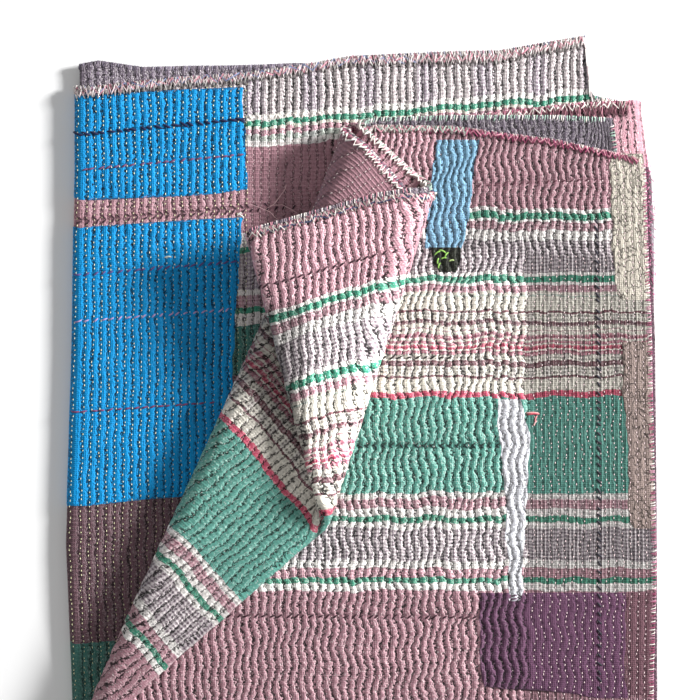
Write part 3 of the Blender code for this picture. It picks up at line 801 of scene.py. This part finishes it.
def lay_patch(patch, material):
    """A patch that follows the ribs under it, with its edge turned under."""
    v = v_at(spans((*patch_ends(patch), ROW)))
    first, last = (side[:, None] for side in patch_sides(patch, v))
    start = np.floor(first.min() / COLUMN) - COLUMNS_BEFORE
    line, v = np.meshgrid(np.arange(start, last.max() / COLUMN + COLUMNS_PAST) * COLUMN, v)
    u = np.clip(drawn_in(line, v), first, last)
    inside = np.minimum(np.minimum(u - first, last - u), np.minimum(v - v.min(), v.max() - v))
    height = face_height(line, v) + PATCH_RISE * ease(inside + TURNED)
    width = np.diff(u, axis=1)
    faces = grid_faces(*line.shape)[np.maximum(width[:-1], width[1:]).ravel() > LEAST_WIDTH]
    points = bundle(u, v, height).reshape(-1, 3)
    marks = np.stack([u, v, line], axis=-1).reshape(-1, 3)
    used, faces = np.unique(faces, return_inverse=True)
    piece = new_piece(patch.name, points[used], faces.reshape(-1, 4), material, marks[used],
                      tightness(line, v).ravel()[used], np.full(len(used), PATCH_TONE), flip=True)


def patch_lift(u, v):
    """How far the patches raise the face at places of the flat cloth."""
    lift = 0 * (u + v)
    for patch in PATCHES:
        low, high = (v_at(end) for end in patch_ends(patch))
        first, last = patch_sides(patch, v)
        lift = np.where((u > first) & (u < last) & (v > low) & (v < high), PATCH_RISE, lift)
    return lift


for patch in PATCHES:
    lay_patch(patch, cotton(patch.name.replace("patch", "cotton"), plain=patch.colour, valley=patch.valley,
                            crackle=patch.crackle, age=0.15))

# ---- The sewing, in threads drawn a little heavier than real ones so that they show. ----

THREADS = {}
THIN_END = 0.15  # the share of its radius that a thread has at its ends
THREAD_TONES = (0.85, 1.2)  # how dark and how light it is by turns


def thread_of(colour):
    """Loosely twisted cotton sewing thread: matt, and each stitch a little lighter or darker than the next."""
    if colour not in THREADS:
        made, shader, node = new_material("cotton_thread_%d" % len(THREADS), {"Roughness": 0.8, "Sheen Weight": 0.05})
        cloth = node("Attribute", attribute_name="cloth").outputs["Vector"]
        tone = node("TexNoise", Vector=cloth, Scale=0.4, Detail=2.0)
        tone = node("MapRange", tone, 0.3, 0.7, *THREAD_TONES)
        shade = node("VectorMath SCALE", linear(colour)[:3], Scale=tone)
        made.node_tree.links.new(shade.outputs[0], shader.inputs["Base Color"])
        THREADS[colour] = made
    return THREADS[colour]


def square_to(first, second):
    """Unit vectors square to two others."""
    across = np.cross(first, second)
    return across / (np.linalg.norm(across, axis=-1, keepdims=True) + 1e-12)


def sew(name, u, v, t, colour, radius, sides=4):
    """Stitches of one colour, each a row of places on the flat cloth, or one of them, as tubes with thin ends."""
    u, v, t = np.broadcast_arrays(*np.atleast_2d(u, v, t))
    middle = bundle(u, v, t)
    run = np.gradient(middle, axis=1)
    across = square_to(run, bundle(u, v, t + 0.5) - middle)
    upward = square_to(across, run)
    turn = np.arange(sides) / sides * 2 * np.pi
    count, steps = u.shape
    at_end = (np.arange(steps) == 0) | (np.arange(steps) == steps - 1)
    taper = radius * MM * np.where(at_end, THIN_END, 1.0)
    ring = across[:, :, None] * np.cos(turn)[:, None] + upward[:, :, None] * np.sin(turn)[:, None]
    points = middle[:, :, None] + ring * taper[:, None, None]
    corner = np.arange(count * steps * sides).reshape(count, steps, sides)
    turned = np.roll(corner, -1, axis=2)
    faces = np.stack([corner[:, :-1], turned[:, :-1], turned[:, 1:], corner[:, 1:]], axis=-1).reshape(-1, 4)
    marks = np.repeat(np.stack([u, v, u], axis=-1)[:, :, None], sides, axis=2).reshape(-1, 3)
    new_piece(name, points.reshape(-1, 3), faces, thread_of(colour), marks, 0 * marks[:, 0], 0 * marks[:, 0] + 1)


luck = np.random.default_rng(11)

# A running stitch: the part that shows, in mm along the valley and in depth.
STITCH = np.array([-0.75, 0.0, 0.75])
STITCH_DIP = np.array([-0.4, 0.0, -0.4])
STITCH_STOUT = 0.36
STITCH_PITCH = 3.5
STITCH_STRAY = 0.9  # how far it strays up or down its row
STITCH_ASIDE = 0.25  # and aside
ROW_SHIFT = 2.3  # how far the stitches of a row stand off their neighbours'
STITCH_OVER = 0.12  # how high it lies in a deep valley, and how much higher where the cloth is slack
SLACK_OVER = 0.3
OPEN_VALLEY = 0.66  # where the ribs are lower than this share, all its stitches show
SEEN_IN_RIBS = 0.12  # the share of the stitches that shows where the valleys are deep
HEM_CLEAR = 3.0  # the rows end this far from the hem


def running(name, first, last, low, high, colour, shown, seen_in_ribs=SEEN_IN_RIBS, aside=0.0):
    """The running stitches that hold the layers, in the valleys between the ribs of a panel's front."""
    line, v = np.meshgrid(np.arange(np.ceil(first / RIB_PITCH), last / RIB_PITCH) * RIB_PITCH,
                          np.arange(low, high, STITCH_PITCH))
    line, v = line.ravel(), v.ravel()
    v = v + luck.uniform(-STITCH_STRAY, STITCH_STRAY, v.shape) + ROW_SHIFT * np.sin(line)
    line = line - aside
    u = drawn_in(line, v) + luck.uniform(-STITCH_ASIDE, STITCH_ASIDE, v.shape)
    seen = (tightness(line, v) < OPEN_VALLEY) | (luck.uniform(0, 1, v.shape) < seen_in_ribs)
    keep = (v < hem_at(line, 1) - HEM_CLEAR) & shown(u, v) & seen
    line, u, v = line[keep], u[keep], v[keep]
    top = face_height(line, v) + patch_lift(u, v) + STITCH_OVER + SLACK_OVER * (1 - tightness(line, v))
    along = STITCH * luck.uniform(0.7, 1.15, v.shape)[:, None]
    sew(name, u[:, None] + 0 * along, v[:, None] + along, top[:, None] + STITCH_DIP, colour, STITCH_STOUT, sides=3)


def lies_open(u, v):
    """Whether a place on the front of panels T and U faces up in the folded quilt."""
    return (bundle(u, v, 1.5) - bundle(u, v, 1.0))[..., 2] > -0.1 * MM


CORNER_CLEAR = 4.0
TOP_HEMS = 205.0  # the top panels' hems lie lower than this up the bundle, but for the turned corner


def beside_corner(u, v):
    """Whether a place on panel V is clear of the turned corner and the top panels' hems."""
    square = crease_frame(MAIN)[1]
    x, up = u_across(0, V) - u, v - v_at(0)
    reach = (x - MAIN.foot[0]) * square[0] + (up - MAIN.foot[1]) * square[1]
    return (reach > -CORNER_CLEAR) | (up > TOP_HEMS)


running("running_stitch_top", 4, 372, 4, 500, "#e6cfd0", lies_open)
running("running_stitch_second", 378, 560, 4, 500, "#e9d9d6", lies_open)
running("running_stitch_third", 1012, 1130, 4, 545, "#f1efc2", beside_corner, 0.85, 0.9)
running("running_stitch_right", 760, 1012, 4, 545, "#d3b9ba", beside_corner)


def line_under(u, v):
    """The stitch row's own line that strays to a place of the flat cloth."""
    line = u
    for _ in range(5):
        line = line + u - drawn_in(line, v)
    return line


def top_at(u, v):
    """The height of the cloth or patch at places of a front."""
    return face_height(line_under(u, v), v) + patch_lift(u, v)


SEAM_ARCH = np.array([-0.1, 0.45, 0.6, 0.45, -0.1])  # the height of its stitches over the ribs, along each


def lay_seam(number, seam):
    """A row of heavier stitches that cross the ribs."""
    run = np.hypot(seam.right - seam.left, seam.up_right - seam.up_left)
    count = int(run / RIB_PITCH)
    share = (np.arange(count) + luck.uniform(0.3, 0.7, count)) / count
    x, up = mix(seam.left, seam.right, share), mix(seam.up_left, seam.up_right, share)
    heading = np.arctan2(seam.up_right - seam.up_left, seam.right - seam.left)
    turn = heading + seam.tilt + luck.uniform(-0.25, 0.25, count)
    along = np.linspace(-0.5, 0.5, len(SEAM_ARCH)) * seam.length * luck.uniform(0.8, 1.2, count)[:, None]
    u = u_across(x, seam.panel)[:, None] - along * np.cos(turn)[:, None]
    v = v_at(up)[:, None] + along * np.sin(turn)[:, None]
    sew("seam_%d" % number, u, v, top_at(u, v) + SEAM_ARCH, seam.colour, SEAM_STOUT * seam.length)


for number, seam in enumerate(SEAMS):
    lay_seam(number, seam)

OVERCAST = 1.7  # from one stitch over a hem to the next
OVERCAST_STRAY = 0.7
OVERCAST_STOUT = 0.3
# The way of such a stitch from the front round the edge to the back: where it is, as a share of its depth, how
# far it stands past the edge, and its height over the middle of the cloth.
ROUND_HEM = (
    (-1.0, 0.0, 1.25), (-0.45, 0.0, 1.85), (0.0, 1.0, 1.1), (0.0, 1.0, -1.1), (-0.45, 0.0, -1.6), (-1.0, 0.0, -1.2),
)


def overcast(name, start, end, half, colours, depth=2.6, side_hem=False):
    """Stitches in mixed threads over a hem of one half, from one face round the edge to the other."""
    place = np.arange(start, end, OVERCAST)
    place = place + luck.uniform(-OVERCAST_STRAY, OVERCAST_STRAY, place.shape)
    share, past, height = np.transpose(ROUND_HEM)
    out = share * (depth * luck.uniform(0.6, 1.25, place.shape)[:, None]) + past
    slant = np.linspace(-0.5, 0.5, len(ROUND_HEM)) * luck.uniform(0.5, 3.2, place.shape)[:, None]
    if side_hem:
        v = place[:, None] + slant
        u = column(SELVEDGES, "first", v) - out
    else:
        u = place[:, None] + slant
        v = hem_at(u, half) + half * out
    chosen = luck.integers(0, len(colours), place.shape)
    for number, colour in enumerate(colours):
        these = chosen == number
        sew("%s_%d" % (name, number), u[these], v[these], height, colour, OVERCAST_STOUT)


PALE, PINK_THREAD, NAVY, MINT, MAGENTA = "#f3ebe4", "#d0909f", "#3a3f5e", "#a9c7b6", "#a0476b"
LIME = "#8fc25a"
overcast("hem_top_front", 6, 372, 1, (PALE, PINK_THREAD, NAVY, PALE))
overcast("hem_top_back", 26, 262, -1, (MINT, PALE, MINT))
overcast("hem_corner_back", 262, 372, -1, (PINK_THREAD, PALE, "#9b8790"))
overcast("hem_second_front", 378, 745, 1, (PALE, MAGENTA, MAGENTA))
overcast("hem_second_back", 378, 745, -1, (PALE, MAGENTA, "#7c3a50"))
overcast("hem_third_front", 755, 1126, 1, (PALE, PALE, PINK_THREAD, "#8f93ad"), depth=2.0)
overcast("hem_third_back", 755, 1126, -1, ("#544c60", SLATE, "#8f8799"))
overcast("side_hem_front", 6, 462, 1, (MAGENTA, PALE, "#c88fa5"), side_hem=True)
overcast("side_hem_back", -486, -6, -1, (MINT, PALE, PINK_THREAD), side_hem=True)

# One long thread each that goes to and fro over a hem, from inner to outer mm inside it.
LOOP_STOUT = 0.68
LEAST_LOOP = -0.6
LOOPS = table(
    "name start end half colour inner outer pitch",
    ("third_white", 757, 1126, 1, "#fffaf6", 6.0, -0.4, 2.6), ("third_cream", 757, 1126, 1, "#fbe9ea", 4.6, 0.6, 2.3),
    ("third_pink", 790, 1126, 1, PINK_THREAD, 4.0, 0.0, 4.1), ("third_slate", 900, 1126, 1, "#7f86a6", 4.0, 0.0, 9.3),
    ("top_white", 120, 372, 1, PALE, 3.4, -0.4, 2.2), ("top_mint", 120, 260, 1, MINT, 3.0, 0.0, 2.9),
    ("top_navy", 250, 372, 1, NAVY, 2.6, 1.2, 7.0), ("top_pink", 6, 372, 1, PINK_THREAD, 3.0, 0.0, 3.6),
    ("top_magenta", 6, 150, 1, MAGENTA, 3.6, -0.3, 2.9), ("top_back", 26, 372, -1, PALE, 3.0, 0.0, 2.4),
    ("second", 378, 600, 1, PALE, 2.6, -0.3, 2.4), ("far_pink", 590, 742, -1, PINK_THREAD, 8.0, 0.0, 3.1),
    ("far_maroon", 590, 742, -1, "#6d3f50", 9.0, 1.0, 5.3), ("far_white", 590, 742, -1, PALE, 3.6, 0.0, 3.7),
    ("slate_mint", 26, 60, -1, MINT, 3.6, 0.0, 2.3),
)
for loop in LOOPS:
    u = np.arange(loop.start, loop.end, loop.pitch / 2)
    u = u + luck.uniform(-0.4, 0.4, u.shape) * loop.pitch
    reach = np.where(np.arange(len(u)) % 2, loop.inner, loop.outer) + luck.uniform(-1.0, 1.0, u.shape)
    v = hem_at(u, loop.half) - loop.half * np.maximum(reach, LEAST_LOOP)
    height = np.maximum(face_height(line_under(u, v), v), THICKNESS / 2) + HEM_RISE + luck.uniform(0.3, 0.8, u.shape)
    sew("loops_" + loop.name, u, v, height, loop.colour, LOOP_STOUT)

# Short magenta stitches that bind the maroon strip at the fold between the upper and the lower panels.
SPECKS = 190
SPECK_STOUT = 0.34
SPECK_ARCH = np.array([-0.1, 0.35, -0.1])
u, v = luck.uniform(2 * PANEL - 7, 2 * PANEL + 1, SPECKS), luck.uniform(-v_at(198), -v_at(105), SPECKS)
turn = luck.uniform(0.3, 2.6, SPECKS)
along = np.array([-1.0, 0.0, 1.0])
u, v = u[:, None] + along * np.cos(turn)[:, None], v[:, None] + along * np.sin(turn)[:, None]
for number, colour in enumerate(("#b4567f", "#8c3a62", "#c68aa5")):
    these = slice(number, None, 3)
    sew("strip_stitch_%d" % number, u[these], v[these], THICKNESS / 2 + SPECK_ARCH, colour, SPECK_STOUT)

# Thread ends that came loose at the foot of the turned corner, as places across the bundle and up it with
# their heights over the cloth.
LOOSE = (
    ((-76, 166.5, 1.6), (-71, 165.4, 2.6), (-65, 163.5, 3.6), (-60, 161, 4.2), (-57, 158, 4.6), (-52, 154.5, 5)),
    ((-62, 163, 1.8), (-57, 166, 4), (-53, 170, 5), (-50.5, 174.5, 5.5), (-49, 179, 6)),
    ((-60, 165, 1.8), (-52, 165.5, 4), (-46, 163, 5), (-42, 160, 5.5)),
)
LOOSE_STEPS = 16
LOOSE_CURL = 0.5
LOOSE_STOUT = 0.22
for number, places in enumerate(LOOSE):
    steps = np.linspace(0, len(places) - 1, LOOSE_STEPS)
    x, up, over = (np.interp(steps, range(len(places)), axis) for axis in zip(*places))
    u = u_across(x + LOOSE_CURL * np.sin(steps * 2.3), V)
    sew("loose_thread_%d" % number, u, v_at(up), over, "#d9b3b6", LOOSE_STOUT)

# Small marks on the face: a panel, a place across it and up it, the length, the turn and the colour.
MARKS = table(
    "panel across up length turn colour",
    (T, 109.5, 31, 9, 0.0, "#e3a7a4"), (T, 110, 30.2, 8, 0.06, "#c94f62"), (T, 112, 27.5, 4.5, 1.3, "#d98b8f"),
    (T, 111.5, 24.6, 4, 1.0, "#e7b9b8"), (V, -79, 159.5, 4, 0.5, WHITE), (V, -78, 158, 4, -0.6, WHITE),
    (V, -125.5, 131.5, 5, 0.1, "#dfe3d4"), (V, -77.5, 220.5, 5, 0.3, "#131c44"), (V, -77.5, 219, 4, -0.5, "#131c44"),
    (T, 48.5, 134, 5, 0.6, LIME), (T, 51.5, 135, 5, -0.4, LIME), (T, 54.5, 133, 4, 0.9, LIME),
    (T, 49, 129, 4, 1.4, LIME), (T, 49.8, 126, 4, 1.2, LIME), (T, 57.5, 129, 3.5, 0.2, "#b9d18a"),
    (T, 52.5, 130.5, 4, 0.2, LIME),
)
MARK_STOUT = 0.5
MARK_BOW = 0.6 * np.cos(np.linspace(-1.5, 1.5, 7))  # each bends a little
MARK_ARCH = np.array([0.0, 0.3, 0.4, 0.4, 0.4, 0.3, 0.0])
for number, mark in enumerate(MARKS):
    along = np.linspace(-0.5, 0.5, len(MARK_ARCH)) * mark.length
    u = u_across(mark.across + along * np.cos(mark.turn) - MARK_BOW * np.sin(mark.turn), mark.panel)
    v = v_at(mark.up + along * np.sin(mark.turn) + MARK_BOW * np.cos(mark.turn))
    top = top_at(u, v)
    top = np.maximum(top, top.mean()) + MARK_ARCH
    sew("mark_%d" % number, u, v, top, mark.colour, MARK_STOUT)

# ---- Floor, light and camera. ----

floor_data = bpy.data.meshes.new("floor")
floor_data.from_pydata([(-3, -3, 0), (3, -3, 0), (3, 3, 0), (-3, 3, 0)], [], [(0, 1, 2, 3)])
floor = bpy.data.objects.new("floor", floor_data)
bpy.context.collection.objects.link(floor)
paper = new_material("white_paper", {"Base Color": linear("#f4f4f4"), "Roughness": 0.9})[0]
floor_data.materials.append(paper)


def lamp(name, place, size, power):
    """A square soft light that looks at the quilt."""
    data = bpy.data.lights.new(name, "AREA")
    data.size, data.energy = size, power
    light = bpy.data.objects.new(name, data)
    light.location = place
    light.rotation_euler = (-Vector(place)).to_track_quat("-Z", "Y").to_euler()
    bpy.context.collection.objects.link(light)


lamp("key", (1.85, 0.75, 1.05), 0.5, 104)
lamp("fill", (-1.2, -0.2, 2.2), 2.0, 9)
world = bpy.data.worlds.new("studio")
world.use_nodes = True
world.node_tree.nodes["Background"].inputs["Color"].default_value = linear("#ffffff")
world.node_tree.nodes["Background"].inputs["Strength"].default_value = 0.3
bpy.context.scene.world = world
bpy.context.scene.view_settings.view_transform = "Standard"

CAMERA_HEIGHT = 2.5
SEEN = 452.9 * MM  # how wide the view is at the height of the quilt
OVER = (-7.8, 71.8)  # the place that the camera hangs over, in the bundle's own sizes
lens = bpy.data.cameras.new("camera")
lens.lens = lens.sensor_width * (CAMERA_HEIGHT - 2 * PLY * MM) / SEEN
camera = bpy.data.objects.new("camera", lens)
camera.location = ((OVER[0] - MIDDLE[0]) * MM, (OVER[1] - MIDDLE[1]) * MM, CAMERA_HEIGHT)
bpy.context.collection.objects.link(camera)
bpy.context.scene.camera = camera
